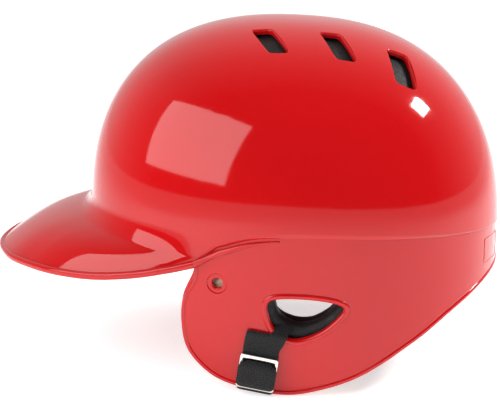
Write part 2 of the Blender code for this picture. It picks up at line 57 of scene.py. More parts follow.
TAPER_DEPTH = 0.1
SHELL_THICKNESS = 0.003
SKIRT_INSET = 0.0013
SKIRT_TUCK = 0.005
BRIM_EDGE = (
    (0.0, -0.1466, -0.0244),
    (0.032, -0.1396, -0.0235),
    (0.052, -0.1256, -0.0226),
    (0.067, -0.1086, -0.0216),
    (0.078, -0.0876, -0.0198),
    (0.085, -0.0656, -0.0158),
    (0.088, -0.0456, -0.0108),
    (0.0896, -0.0296, -0.0060),
)
BRIM_ROOT_HEIGHT = 0.0045
BRIM_FILLET = 0.0075
BRIM_BULGE = 0.0034
BRIM_FULL_REACH = 0.04
# Angle in degrees from +X towards +Y, and height above the sloping waist.
CROWN_EDGE = (
    (-29.0, 0.0016),
    (-18.6, 0.0083),
    (-6.7, 0.0111),
    (12.0, 0.0122),
    (50.0, 0.0121),
    (90.0, 0.0098),
)
RIM = (
    (-35.7, -0.0068),
    (-36.3, -0.0160),
    (-39.6, -0.0282),
    (-40.7, -0.0422),
    (-39.6, -0.0580),
    (-33.8, -0.0699),
    (-25.8, -0.0755),
    (-11.8, -0.0786),
    (0.0, -0.0762),
    (16.8, -0.0658),
    (34.5, -0.0458),
    (50.0, -0.0280),
    (68.5, -0.0158),
    (90.0, -0.0127),
)
FLAP_CORNER = 3
CROWN_TAIL = 0.007
# Outlines in y and height above the waist plane at the dome's middle.
EAR_HOLE = (
    (0.0082, -0.0270),
    (0.0125, -0.0203),
    (0.0300, -0.0197),
    (0.0480, -0.0226),
    (0.0535, -0.0283),
    (0.0440, -0.0390),
    (0.0330, -0.0450),
    (0.0230, -0.0462),
    (0.0130, -0.0405),
)
GUARD_HOLE_AT = (-0.0179, -0.0139)
GUARD_HOLE_RADIUS = 0.003
GUARD_SEAT_RADIUS = 0.0062
GUARD_SEAT_DEPTH = 0.0006
# Each vent: x and y of its middle, length down the dome, width, and how far it leans back.
VENTS = (
    (0.0404, 0.0116, 0.0255, 0.0112, 0.0098),
    (0.0423, 0.0495, 0.0265, 0.0112, 0.0090),
    (0.0448, 0.0851, 0.0280, 0.0125, 0.0045),
)
VENT_CORNER = 0.0026
VENT_LIP = 0.0011
STRAP_TOP = (0.0084, -0.0400)
STRAP_BOTTOM = (0.0030, -0.0755)
WEBBING_WIDTH = 0.0200
WEBBING_THICKNESS = 0.0012
WEBBING_CLEARANCE = 0.0013
SLIDER_WIDTH = 0.0214
SLIDER_HEIGHT = 0.0208
SLIDER_BAR = 0.0026
SLIDER_THICKNESS = 0.0014
SLIDER_TOP = 0.0140
SLIDER_CLEARANCE = 0.0005
TONGUE_WIDTH = 0.0216
TONGUE_HEIGHT = 0.0168
TONGUE_RISE = 0.0030
# The middle of the ear cushion's rolled cover about the ear.
COLLAR = (
    (0.0085, -0.0200),
    (0.0125, -0.0360),
    (0.0280, -0.0440),
    (0.0450, -0.0385),
    (0.0560, -0.0235),
    (0.0460, -0.0090),
    (0.0300, -0.0060),
    (0.0150, -0.0090),
)
COLLAR_INSET = 0.0098
COLLAR_SIZE = (0.0062, 0.0056)

# ---------------------------------------------------------------- fineness of the visible surfaces
EDGE_STEPS = 14
DOME_ROWS = 64
FILLET_STEPS = 12
BRIM_ROWS = 22
SKIRT_ROWS = 44
SKIRT_COLUMNS = 170
RIM_STEPS = 16
RIM_BEAD_ROWS = 260
RING_STEPS = 12
CORNER_STEPS = 6
GUARD_SIDES = 40
BEAD_SIDES = 14
COLLAR_SIDES = 24
RIBBON_STEPS = 8
RIBBON_COLUMNS = 16
TONGUE_COLUMNS = 14

# ---------------------------------------------------------------- beads and steps on the shell
# Each bead's half size along the shell and out from it.
BRIM_BEAD = (0.0019, 0.0022)
RIM_BEAD = (0.0017, 0.0021)
EAR_BEAD = (0.0019, 0.0024)
BRIM_BEAD_IN = 0.0002
BRIM_BEAD_DROP = 0.0012
BRIM_BEAD_LEAN = 0.6
RIM_BEAD_IN = 0.0006
RIM_BEAD_START = 0.0005
# The middle of the skirt's wall, a touch nearer to its outer face.
BEAD_DEPTH = SKIRT_INSET + SHELL_THICKNESS / 2 - 0.0001
# The crown's lower edge turns in over this height at the side and at the rear.
STEP_SIDE = 0.0045
STEP_REAR = 0.0016
STEP_EXTRA = 0.0006
# The brim's bead thins to a quarter between these angles.
RIDGE_START = CROWN_EDGE[0][0]
RIDGE_END = -9.0
RIDGE_THINNING = 0.75
RIDGE_DEPTH = 0.0012
VENT_DEPTH = 0.009
VENT_ABOVE = 0.004
GUARD_CUT_DEPTH = 0.008
CUTTER_REACH = 0.13
# The blank frame's first and last angle, its lowest and highest level, and its raised edge.
FRAME_ANGLES = (63.5, 76.5)
FRAME_LEVELS = (-0.0082, 0.0058)
FRAME_EDGE = (0.0004, 0.00025)
FRAME_EDGE_SIDES = 8
FRAME_STEPS = 9
FRAME_CORNER = 0.04
# The largest angle, in degrees, that is still shaded smooth.
SHELL_CREASE = 32.0
WEBBING_CREASE = 50.0
TONGUE_CREASE = 42.0
METAL_CREASE = 40.0
MERGE_DISTANCE = 1e-6


# ---------------------------------------------------------------- lines and surfaces
def smooth_line(points, steps, closed=False):
    """Points along a smooth line through the given ones, with `steps` to each stretch."""
    vectors = [Vector(point) for point in points]
    count = len(vectors)
    stretches = count if closed else count - 1
    line = []
    for index in range(stretches):
        if closed:
            before, start, end, after = (vectors[(index + shift) % count] for shift in (-1, 0, 1, 2))
        else:
            start, end = vectors[index], vectors[index + 1]
            before = vectors[index - 1] if index else start * 2 - end
            after = vectors[index + 2] if index + 2 < count else end * 2 - start
        for step in range(steps):
            t = step / steps
            line.append(0.5 * (
                start * 2
                + (end - before) * t
                + (before * 2 - start * 5 + end * 4 - after) * t ** 2
                + (start * 3 - before - end * 3 + after) * t ** 3
            ))
    if not closed:
        line.append(vectors[-1])
    return line


def smooth_step(t):
    t = min(max(t, 0.0), 1.0)
    return t * t * (3 - 2 * t)


def plan_radius(angle, inset=0.0):
    """The waist outline's distance from the dome's axis."""
    reach = FRONT_REACH if math.sin(angle) < 0 else REAR_REACH
    across = abs(math.cos(angle)) / (HALF_WIDTH - inset)
    along = abs(math.sin(angle)) / (reach - inset)
    return (across ** PLAN_POWER + along ** PLAN_POWER) ** (-1 / PLAN_POWER)


def placed(angle, radius, level):
    """The point at a plan angle and radius, `level` above the sloping waist."""
    x = radius * math.cos(angle)
    y = CENTRE_Y + radius * math.sin(angle)
    return Vector((x, y, WAIST_HEIGHT - WAIST_SLOPE * (y - CENTRE_Y) + level))


def dome_point(angle, climb, inset=0.0):
    """A point of the dome: climb is 0 at the waist and a quarter turn at the top."""
    power = PROFILE_POWER
    stretch = (math.cos(climb) ** power + math.sin(climb) ** power) ** (-1 / power)
    radius = plan_radius(angle, inset) * stretch * math.cos(climb)
    return placed(angle, radius, (DOME_HEIGHT - inset) * stretch * math.sin(climb))


def dome_climb(level, inset=0.0):
    """The climb at which the dome is `level` above the waist."""
    height = level / (DOME_HEIGHT - inset)
    return math.atan2(height, (1 - height ** PROFILE_POWER) ** (1 / PROFILE_POWER))


def dome_above(x, y, inset=0.0):
    """The dome's point over a plan position."""
    angle = math.atan2(y - CENTRE_Y, x)
    share = math.hypot(x, y - CENTRE_Y) / plan_radius(angle, inset)
    level = (DOME_HEIGHT - inset) * (1 - share ** PROFILE_POWER) ** (1 / PROFILE_POWER)
    return Vector((x, y, WAIST_HEIGHT - WAIST_SLOPE * (y - CENTRE_Y) + level))


def dome_out(x, y):
    """The dome's outward direction over a plan position."""
    step = 0.0005
    down = dome_above(x + step, y) - dome_above(x - step, y)
    back = dome_above(x, y + step) - dome_above(x, y - step)
    return down.cross(back).normalized()


def wall_point(angle, level, inset=0.0):
    """A point of the side wall near and below the waist, which turns in as it goes down."""
    if level > 0:
        return dome_point(angle, dome_climb(level, inset), inset)
    shrink = 1 - WALL_TAPER * (level / TAPER_DEPTH) ** 2
    return placed(angle, plan_radius(angle, inset) * shrink, level)


def wall_out(angle, level, inset=0.0):
    """The side wall's outward direction at an angle and level."""
    step = 0.0005
    along = wall_point(angle + step * 10, level, inset) - wall_point(angle - step * 10, level, inset)
    up = wall_point(angle, level + step, inset) - wall_point(angle, level - step, inset)
    return along.cross(up).normalized()


def wall_at(y, height, inset=0.0):
    """The left wall's point at a given y, `height` above the waist at the dome's middle."""
    level = height + WAIST_SLOPE * (y - CENTRE_Y)
    shrink = 1 - WALL_TAPER * (min(level, 0.0) / TAPER_DEPTH) ** 2
    reach = (FRONT_REACH if y < CENTRE_Y else REAR_REACH) - inset
    share = abs(y - CENTRE_Y) / (reach * shrink)
    x = (HALF_WIDTH - inset) * shrink * (1 - share ** PLAN_POWER) ** (1 / PLAN_POWER)
    return Vector((x, y, WAIST_HEIGHT + height))


def surface_normal(at, inset=0.0):
    """The left wall's outward direction."""
    y, height = at
    step = 0.001
    along = wall_at(y + step, height, inset) - wall_at(y - step, height, inset)
    up = wall_at(y, height + step, inset) - wall_at(y, height - step, inset)
    return along.cross(up).normalized()


# ---------------------------------------------------------------- meshes and objects
def as_mesh(bm, name):
    mesh = bpy.data.meshes.new(name)
    bm.to_mesh(mesh)
    bm.free()
    mesh.shade_smooth()
    return mesh


def add_object(name, mesh, material=None):
    obj = bpy.data.objects.new(name, mesh)
    bpy.context.scene.collection.objects.link(obj)
    if material:
        mesh.materials.append(material)
    return obj


def grid_mesh(name, rows, closed=False):
    """A sheet of quads through rows of points; points that meet are merged."""
    bm = bmesh.new()
    grid = [[bm.verts.new(point) for point in row] for row in rows]
    last = len(rows) if closed else len(rows) - 1
    for index in range(last):
        upper, lower = grid[index], grid[(index + 1) % len(rows)]
        for column in range(len(upper) - 1):
            bm.faces.new((upper[column], upper[column + 1], lower[column + 1], lower[column]))
    bmesh.ops.remove_doubles(bm, verts=bm.verts, dist=MERGE_DISTANCE)
    return as_mesh(bm, name)


def loft_mesh(name, loops, caps=True):
    """A closed solid through loops of points, or a ring where the last loop meets the first."""
    bm = bmesh.new()
    rings = [[bm.verts.new(point) for point in loop] for loop in loops]
    size = len(rings[0])
    pairs = list(zip(rings, rings[1:]))
    if not caps:
        pairs.append((rings[-1], rings[0]))
    for lower, upper in pairs:
        for index in range(size):
            after = (index + 1) % size
            bm.faces.new((lower[index], lower[after], upper[after], upper[index]))
    if caps:
        bm.faces.new(reversed(rings[0]))
        bm.faces.new(rings[-1])
    bmesh.ops.recalc_face_normals(bm, faces=bm.faces)
    return as_mesh(bm, name)


def mirrored_mesh(mesh, name):
    bm = bmesh.new()
    bm.from_mesh(mesh)
    for vertex in bm.verts:
        vertex.co.x = -vertex.co.x
    bmesh.ops.reverse_faces(bm, faces=bm.faces)
    twin = as_mesh(bm, name)
    for material in mesh.materials:
        twin.materials.append(material)
    return twin


def evaluated_mesh(obj):
    graph = bpy.context.evaluated_depsgraph_get()
    return bpy.data.meshes.new_from_object(obj.evaluated_get(graph))


def apply_modifiers(obj):
    mesh = evaluated_mesh(obj)
    obj.modifiers.clear()
    obj.data = mesh


def add_mirror(obj):
    modifier = obj.modifiers.new("both_sides", "MIRROR")
    modifier.merge_threshold = 0.00005
    modifier.use_clip = True


def add_solidify(obj, thickness):
    modifier = obj.modifiers.new("wall", "SOLIDIFY")
    modifier.thickness = thickness
    modifier.offset = -1.0


def cut(obj, cutters):
    """Cut closed meshes out of an object and remove them."""
    for cutter in cutters:
        modifier = obj.modifiers.new(cutter.name, "BOOLEAN")
        modifier.object = cutter
        modifier.operation = "DIFFERENCE"
        modifier.solver = "EXACT"
    apply_modifiers(obj)
    for cutter in cutters:
        bpy.data.objects.remove(cutter, do_unlink=True)


def sheet_normals(obj, sheet, align=0.987):
    """Shade an object's outer faces with the smooth normals of the sheet that it was made from."""
    mesh = obj.data
    mesh.set_sharp_from_angle(angle=math.radians(SHELL_CREASE))
    tree = BVHTree.FromPolygons([v.co for v in sheet.vertices], [p.vertices[:] for p in sheet.polygons])
    smooth = []
    for vertex in mesh.vertices:
        at, _, face, _ = tree.find_nearest(vertex.co)
        corners = sheet.polygons[face].vertices
        weights = poly_3d_calc([sheet.vertices[index].co for index in corners], at)
        normal = Vector()
        for index, weight in zip(corners, weights):
            normal += sheet.vertices[index].normal * weight
        smooth.append(normal.normalized())
    normals = [corner.vector.copy() for corner in mesh.corner_normals]
    for polygon in mesh.polygons:
        for loop in polygon.loop_indices:
            normal = smooth[mesh.loops[loop].vertex_index]
            if polygon.normal.dot(normal) > align:
                normals[loop] = normal
    mesh.normals_split_custom_set(normals)


def oval_section(half_side, half_out, sides=BEAD_SIDES, power=2.3):
    """A rounded closed section: side and outward offsets."""
    section = []
    for index in range(sides):
        turn = 2 * math.pi * index / sides
        cos, sin = math.cos(turn), math.sin(turn)
        side = math.copysign(abs(cos) ** (2 / power), cos) * half_side
        out = math.copysign(abs(sin) ** (2 / power), sin) * half_out
        section.append((side, out))
    return section


def sweep(name, path, outs, section, closed=False, scales=None):
    """A bar of one section along a path; outs are the outward directions along it."""
    count = len(path)
    loops = []
    for index, at in enumerate(path):
        before = path[index - 1] if closed or index else path[0]
        after = path[(index + 1) % count] if closed else path[min(index + 1, count - 1)]
        run = (after - before).normalized()
        out = (outs[index] - run * outs[index].dot(run)).normalized()
        side = run.cross(out)
        scale = scales[index] if scales else 1.0
        loops.append([at + (side * across + out * rise) * scale for across, rise in section])
    return loft_mesh(name, loops, caps=not closed)


def finish_piece(obj, body, slot, *nodes):
    """Hang a piece on its body and hide the CAD parts that it stands for."""
    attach(obj, body)
    if nodes:
        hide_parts(*nodes)
    return obj


# ---------------------------------------------------------------- materials
def add_node(tree, kind, settings=None, values=None):
    made = tree.nodes.new(kind)
    for key, value in (settings or {}).items():
        setattr(made, key, value)
    for key, value in (values or {}).items():
        made.inputs[key].default_value = value
    return made


def start_material(name, values):
    """A Principled material and its tree, shader and object coordinates."""
    material = bpy.data.materials.new(name)
    material.use_nodes = True
    tree = material.node_tree
    shader = tree.nodes["Principled BSDF"]
    for key, value in values.items():
        shader.inputs[key].default_value = value
    coordinates = add_node(tree, "ShaderNodeTexCoord")
    return material, tree, shader, coordinates.outputs["Object"]


def noise(tree, vector, scale, detail=3.0):
    made = add_node(tree, "ShaderNodeTexNoise", values={"Scale": scale, "Detail": detail})
    tree.links.new(vector, made.inputs["Vector"])
    return made.outputs["Fac"]


def between(tree, value, low, high):
    """Stretch a 0.3 to 0.7 texture value to a range."""
    made = add_node(tree, "ShaderNodeMapRange", values={
        "From Min": 0.3, "From Max": 0.7, "To Min": low, "To Max": high,
    })
    tree.links.new(value, made.inputs["Value"])
    return made.outputs["Result"]


def mixed(tree, factor, first, second):
    made = add_node(tree, "ShaderNodeMix", {"data_type": "RGBA"})
    made.inputs["A"].default_value = (*first, 1.0)
    made.inputs["B"].default_value = (*second, 1.0)
    tree.links.new(factor, made.inputs["Factor"])
    return made.outputs["Result"]


def bump(tree, height, strength, distance, below=None):
    made = add_node(tree, "ShaderNodeBump", values={"Strength": strength, "Distance": distance})
    tree.links.new(height, made.inputs["Height"])
    if below:
        tree.links.new(below, made.inputs["Normal"])
    return made.outputs["Normal"]


def math_node(tree, operation, first, second=None):
    made = add_node(tree, "ShaderNodeMath", {"operation": operation})
    for index, value in enumerate((first, second)):
        if value is None:
            continue
        if isinstance(value, (int, float)):
            made.inputs[index].default_value = value
        else:
            tree.links.new(value, made.inputs[index])
    return made.outputs[0]


def gloss_red():
    """High-gloss moulded ABS: a faint flow of colour, slight waviness and fine handling haze."""
    material, tree, shader, at = start_material("gloss_red_abs", {
        "IOR": 1.46, "Specular Tint": (1.0, 0.94, 0.93, 1.0),
    })
    link = tree.links.new
    red = mixed(tree, noise(tree, at, 9.0), (0.49, 0.0045, 0.006), (0.45, 0.0035, 0.005))
    link(red, shader.inputs["Base Color"])
    link(between(tree, noise(tree, at, 160.0, 6.0), 0.05, 0.085), shader.inputs["Roughness"])
    link(bump(tree, noise(tree, at, 55.0, 1.0), 0.02, 0.0006), shader.inputs["Normal"])
    return material


def grained_black():
    """Synthetic leather over foam: pebble grain, worn a little smoother on its high spots."""
    material, tree, shader, at = start_material("grained_black_cover", {
        "Specular IOR Level": 0.35, "Sheen Weight": 0.04, "Sheen Roughness": 0.4,
    })
    link = tree.links.new
    cells = add_node(tree, "ShaderNodeTexVoronoi", {"feature": "DISTANCE_TO_EDGE"}, {"Scale": 850.0})
    link(at, cells.inputs["Vector"])
    grain = math_node(tree, "MINIMUM", cells.outputs["Distance"], 0.25)
    black = mixed(tree, noise(tree, at, 70.0), (0.006, 0.006, 0.0065), (0.012, 0.0115, 0.0115))
    link(black, shader.inputs["Base Color"])
    link(between(tree, noise(tree, at, 220.0, 5.0), 0.36, 0.55), shader.inputs["Roughness"])
    wrinkles = bump(tree, noise(tree, at, 60.0, 5.0), 0.25, 0.0012)
    link(bump(tree, grain, 0.55, 0.0009, wrinkles), shader.inputs["Normal"])
    return material


def cream_foam():
    """Closed-cell foam: small open pores on its skin and a slightly yellowed tone."""
    material, tree, shader, at = start_material("cream_foam", {
        "Roughness": 0.92, "Specular IOR Level": 0.2,
        "Subsurface Weight": 0.15, "Subsurface Radius": (0.002, 0.002, 0.002),
    })
    link = tree.links.new
    cells = add_node(tree, "ShaderNodeTexVoronoi", values={"Scale": 1500.0})
    link(at, cells.inputs["Vector"])
    cream = mixed(tree, noise(tree, at, 45.0, 5.0), (0.80, 0.70, 0.52), (0.68, 0.57, 0.40))
    link(cream, shader.inputs["Base Color"])
    rough = bump(tree, noise(tree, at, 260.0, 4.0), 0.4, 0.0008)
    link(bump(tree, cells.outputs["Distance"], 0.5, 0.0004, rough), shader.inputs["Normal"])
    return material


def woven_black():
    """Polyester webbing: ribs across its run crossed by the warp, from the strip's own coordinates, with
    painted shade darkening its colour in the grooves.
    """
    material, tree, shader, at = start_material("woven_black_webbing", {
        "Specular IOR Level": 0.25, "Sheen Weight": 0.08, "Sheen Roughness": 0.5,
    })
    link = tree.links.new
    strip = add_node(tree, "ShaderNodeUVMap", {"uv_map": "strip"})
    parts = add_node(tree, "ShaderNodeSeparateXYZ")
    link(strip.outputs["UV"], parts.inputs["Vector"])
    rib_pitch, warp_pitch = 0.0016, 0.0011
    row = math_node(tree, "FLOOR", math_node(tree, "DIVIDE", parts.outputs["X"], warp_pitch))
    shift = math_node(tree, "MULTIPLY", math_node(tree, "MODULO", row, 2.0), math.pi / 2)
    ribs = math_node(tree, "MULTIPLY", parts.outputs["Y"], math.pi / rib_pitch)
    rib = math_node(tree, "ABSOLUTE", math_node(tree, "SINE", math_node(tree, "ADD", ribs, shift)))
    warps = math_node(tree, "MULTIPLY", parts.outputs["X"], math.pi / warp_pitch)
    warp = math_node(tree, "ABSOLUTE", math_node(tree, "SINE", warps))
    weave_relief_and_shade = math_node(tree, "MULTIPLY", rib, warp)
    # Painted shade: the base colour is darker in the weave's grooves and lighter on its crests.
    link(mixed(tree, weave_relief_and_shade, (0.004, 0.004, 0.0045), (0.015, 0.015, 0.016)), shader.inputs["Base Color"])
    link(between(tree, noise(tree, at, 900.0, 4.0), 0.62, 0.85), shader.inputs["Roughness"])
    link(bump(tree, weave_relief_and_shade, 0.8, 0.0004), shader.inputs["Normal"])
    return material


def bright_nickel():
    """Plated steel: polished, with fine draw marks and faint tarnish."""
    material, tree, shader, at = start_material("bright_nickel", {"Metallic": 1.0, "Anisotropic": 0.3})
    link = tree.links.new
    stretch = add_node(tree, "ShaderNodeMapping", values={"Scale": (1.0, 12.0, 12.0)})
    link(at, stretch.inputs["Vector"])
    drawn = stretch.outputs["Vector"]
    metal = mixed(tree, noise(tree, at, 180.0, 4.0), (0.72, 0.70, 0.65), (0.60, 0.57, 0.51))
    link(metal, shader.inputs["Base Color"])
    link(between(tree, noise(tree, drawn, 300.0, 5.0), 0.14, 0.28), shader.inputs["Roughness"])
    link(bump(tree, noise(tree, drawn, 420.0, 4.0), 0.12, 0.0002), shader.inputs["Normal"])
    return material


RED = gloss_red()
COVER = grained_black()
FOAM = cream_foam()
WEBBING = woven_black()
NICKEL = bright_nickel()


# ---------------------------------------------------------------- shell
def brim_profile(edge):
    """A section from the dome out over the brim to one point of its edge: its angle, climb and points."""
    x, y, level = edge
    angle = math.atan2(y - CENTRE_Y, x)
    wall_radius = plan_radius(angle)
    overhang = max(math.hypot(x, y - CENTRE_Y) - wall_radius, 0.0)
    climb = dome_climb(BRIM_ROOT_HEIGHT + BRIM_FILLET)
    top = dome_point(angle, climb)
    start = Vector((math.hypot(top.x, top.y - CENTRE_Y), BRIM_ROOT_HEIGHT + BRIM_FILLET))
    corner = Vector((wall_radius, BRIM_ROOT_HEIGHT))
    end = Vector((wall_radius + overhang, level))
    slope = (end - corner).normalized()
    foot = corner + slope * BRIM_FILLET
    section = []
    for step in range(FILLET_STEPS + 1):
        t = step / FILLET_STEPS
        section.append(start.lerp(corner, t).lerp(corner.lerp(foot, t), t))
    outward = Vector((-slope.y, slope.x))
    bulge = BRIM_BULGE * min(overhang / BRIM_FULL_REACH, 1.0)
    for row in range(1, BRIM_ROWS + 1):
        t = row / BRIM_ROWS
        section.append(foot.lerp(end, t) + outward * bulge * math.sin(math.pi * t))
    return angle, climb, [placed(angle, at.x, at.y) for at in section]


def brim_line(steps):
    """The brim's edge from its tip to the side of the crown."""
    second = BRIM_EDGE[1]
    far_side = (-second[0], *second[1:])
    return smooth_line((far_side, *BRIM_EDGE), steps)[steps:]


def crown_tail(degrees, level, last):
    """The crown's wall down to its lower edge, which turns in over the skirt."""
    angle = math.radians(degrees)
    top = max(BRIM_ROOT_HEIGHT + BRIM_FILLET, level + CROWN_TAIL)
    width = STEP_SIDE + (STEP_REAR - STEP_SIDE) * smooth_step((degrees - 30.0) / 35.0)
    tail = []
    for row in range(last + 1):
        at = top + (level - top) * row / last
        turn = smooth_step((width - (at - level)) / width)
        tail.append(wall_point(angle, at, (SKIRT_INSET + STEP_EXTRA) * turn))
    return angle, dome_climb(top), tail


def crown_columns():
    """The crown's sections, from the tip of the brim round the left side to the middle of the back."""
    sections = [brim_profile(edge) for edge in brim_line(EDGE_STEPS)]
    last = len(sections[0][2]) - 1
    for degrees, level in smooth_line(CROWN_EDGE, EDGE_STEPS):
        sections.append(crown_tail(degrees, level, last))
    columns = []
    for angle, climb, tail in sections:
        fall = climb - math.pi / 2
        dome = [dome_point(angle, math.pi / 2 + fall * row / DOME_ROWS) for row in range(DOME_ROWS)]
        columns.append(dome + tail)
    return columns


def edge_level(angle_degrees):
    """The crown edge's height above the waist at an angle behind the brim."""
    first = (math.degrees(math.atan2(BRIM_EDGE[-1][1] - CENTRE_Y, BRIM_EDGE[-1][0])), BRIM_EDGE[-1][2])
    line = smooth_line((first, *CROWN_EDGE), RING_STEPS)
    for start, end in zip(line, line[1:]):
        if angle_degrees <= end.x:
            share = max((angle_degrees - start.x) / (end.x - start.x), 0.0)
            return start.y + (end.y - start.y) * share
    return line[-1].y


def spaced(line, count):
    """Points evenly spaced along a line of wall places, each an angle in degrees and a level."""
    lengths = [0.0]
    for start, end in zip(line, line[1:]):
        step = Vector((math.radians(end.x - start.x) * HALF_WIDTH, end.y - start.y))
        lengths.append(lengths[-1] + step.length)
    points = []
    stretch = 0
    for index in range(count + 1):
        wanted = lengths[-1] * index / count
        while stretch < len(line) - 2 and lengths[stretch + 1] < wanted:
            stretch += 1
        share = (wanted - lengths[stretch]) / (lengths[stretch + 1] - lengths[stretch])
        points.append(line[stretch].lerp(line[stretch + 1], share))
    return points


RIM_LINE = smooth_line(RIM, RIM_STEPS)
RIM_CORNER = RIM_STEPS * FLAP_CORNER


def skirt_columns():
    """The skirt and flap's sections, from the flap's front edge to the middle of the back."""
    front = spaced(RIM_LINE[:RIM_CORNER + 1], SKIRT_ROWS)
    rim = spaced(RIM_LINE[RIM_CORNER:], SKIRT_COLUMNS)
    start_angle, end_angle = RIM[0][0], RIM[-1][0]
    columns = []
    for index, low in enumerate(rim):
        share = index / SKIRT_COLUMNS
        top_angle = start_angle + (end_angle - start_angle) * share
        top = Vector((top_angle, edge_level(top_angle) + SKIRT_TUCK))
        points = []
        for row in range(SKIRT_ROWS + 1):
            down = row / SKIRT_ROWS
            bow = front[row] - front[0].lerp(front[-1], down)
            at = top.lerp(low, down) + bow * (1 - share) ** 6
            points.append(wall_point(math.radians(at.x), at.y, SKIRT_INSET))
        columns.append(points)
    return columns


def vent_outline(length, width, lean, grow):
    """A leaning slot's outline with round corners, grown all round."""
    corners = []
    for side_down, side_back in ((-1, -1), (-1, 1), (1, 1), (1, -1)):
        down = side_down * (length / 2 + grow)
        corners.append(Vector((down, side_back * (width / 2 + grow) + side_down * lean / 2)))
    line = []
    for index, corner in enumerate(corners):
        before = (corners[index - 1] - corner).normalized() * (VENT_CORNER + grow)
        after = (corners[(index + 1) % 4] - corner).normalized() * (VENT_CORNER + grow)
        for step in range(CORNER_STEPS + 1):
            t = step / CORNER_STEPS
            line.append(corner + before * (1 - t) ** 2 + after * t ** 2)
    return line


def vent_cutter(name, x, y, length, width, lean, side):
    """A slot square to the dome, whose lip rounds over into the surface."""
    centre = dome_above(x, y)
    out = dome_out(x, y)
    step = 0.002
    down = (dome_above(x + step, y) - dome_above(x - step, y)).normalized()
    back = out.cross(down)
    layers = [(0.0, -VENT_DEPTH)]
    for turn in (90.0, 70.0, 50.0, 32.0, 16.0):
        angle = math.radians(turn)
        layers.append((VENT_LIP * (1 - math.sin(angle)), -VENT_LIP * (1 - math.cos(angle))))
    layers.append((VENT_LIP * 1.1, VENT_ABOVE))
    loops = []
    for grow, depth in layers:
        loop = []
        for at in vent_outline(length, width, lean, grow):
            flat = centre + down * at.x + back * at.y
            surface = dome_above(flat.x, flat.y)
            normal = dome_out(flat.x, flat.y)
            point = surface + normal * depth
            loop.append((point.x * side, point.y, point.z))
        loops.append(loop)
    return add_object(name, loft_mesh(name, loops))


def outline_cutter(name, outline):
    """A prism along X through a smooth closed outline, right through both flaps."""
    line = smooth_line(outline, RING_STEPS, closed=True)
    loops = []
    for x in (-CUTTER_REACH, CUTTER_REACH):
        loops.append([(x, y, WAIST_HEIGHT + height) for y, height in line])
    return add_object(name, loft_mesh(name, loops))


def guard_cutter(name, side):
    """The screw hole and the shallow round seat about it."""
    seat = wall_at(*GUARD_HOLE_AT, SKIRT_INSET)
    out = surface_normal(GUARD_HOLE_AT, SKIRT_INSET)
    turn = out.to_track_quat("Z", "Y").to_matrix()
    profile = (
        (GUARD_HOLE_RADIUS, -GUARD_CUT_DEPTH),
        (GUARD_HOLE_RADIUS, -GUARD_SEAT_DEPTH - 0.0007),
        (GUARD_HOLE_RADIUS + 0.0002, -GUARD_SEAT_DEPTH - 0.0002),
        (GUARD_HOLE_RADIUS + 0.0007, -GUARD_SEAT_DEPTH),
        (GUARD_SEAT_RADIUS - 0.0008, -GUARD_SEAT_DEPTH),
        (GUARD_SEAT_RADIUS, 0.0003),
        (GUARD_SEAT_RADIUS, 0.002),
    )
    loops = []
    for radius, rise in profile:
        loop = []
        for index in range(GUARD_SIDES):
            angle = 2 * math.pi * index / GUARD_SIDES
            at = seat + turn @ Vector((radius * math.cos(angle), radius * math.sin(angle), rise))
            loop.append((at.x * side, at.y, at.z))
        loops.append(loop)
    return add_object(name, loft_mesh(name, loops))


def shell_sheet(name, columns, cutters, *nodes):
    """A sheet of the shell from its left columns: mirrored, thickened, cut and shaded."""
    piece = add_object(name, grid_mesh(name, columns))
    add_mirror(piece)
    sheet = evaluated_mesh(piece)
    add_solidify(piece, SHELL_THICKNESS)
    cut(piece, cutters)
    sheet_normals(piece, sheet)
    piece.data.materials.append(RED)
    finish_piece(piece, "helmet", "shell_plastic", *nodes)


def make_crown():
    """The dome and the brim, with the six vents."""
    cutters = []
    for index, vent in enumerate(VENTS):
        for side in (1, -1):
            cutters.append(vent_cutter(f"vent_{index}_{side}", *vent, side))
    shell_sheet("shell_crown", crown_columns(), cutters, "shell")


def make_skirt():
    """The skirt and both flaps, with the ear holes and screw holes."""
    cutters = [outline_cutter("ear_holes", EAR_HOLE)]
    cutters += [guard_cutter("guard_left", 1), guard_cutter("guard_right", -1)]
    shell_sheet("shell_skirt", skirt_columns(), cutters)


def mirrored_line(points):
    """A half line from the middle plane, with its mirror image before it."""
    return [Vector((-at.x, at.y, at.z)) for at in reversed(points[1:])] + points


def make_brim_bead():
    """The rolled bead on the brim's edge, which fades out as a ridge over the ear."""
    path, outs, scales = [], [], []
    for edge in brim_line(EDGE_STEPS):
        _, _, section = brim_profile(edge)
        end, before = section[-1], section[-2]
        run_out = (end - before).normalized()
        path.append(end - run_out * BRIM_BEAD_IN)
        outs.append(Vector((run_out.x * BRIM_BEAD_LEAN, run_out.y * BRIM_BEAD_LEAN, 1.0)).normalized())
        scales.append(1.0)
    for degrees, level in smooth_line(CROWN_EDGE, EDGE_STEPS):
        if degrees > RIDGE_END:
            break
        angle = math.radians(degrees)
        path.append(wall_point(angle, level, RIDGE_DEPTH))
        outs.append(wall_out(angle, level))
        faded = smooth_step((degrees - RIDGE_START) / (RIDGE_END - RIDGE_START))
        scales.append(1.0 - RIDGE_THINNING * faded)
    path = [at - Vector((0, 0, BRIM_BEAD_DROP)) * scale for at, scale in zip(path, scales)]
    full, full_outs = mirrored_line(path), mirrored_line(outs)
    mesh = sweep("brim_bead", full, full_outs, oval_section(*BRIM_BEAD), scales=scales[:0:-1] + scales)
    finish_piece(add_object("brim_bead", mesh, RED), "helmet", "shell_plastic")


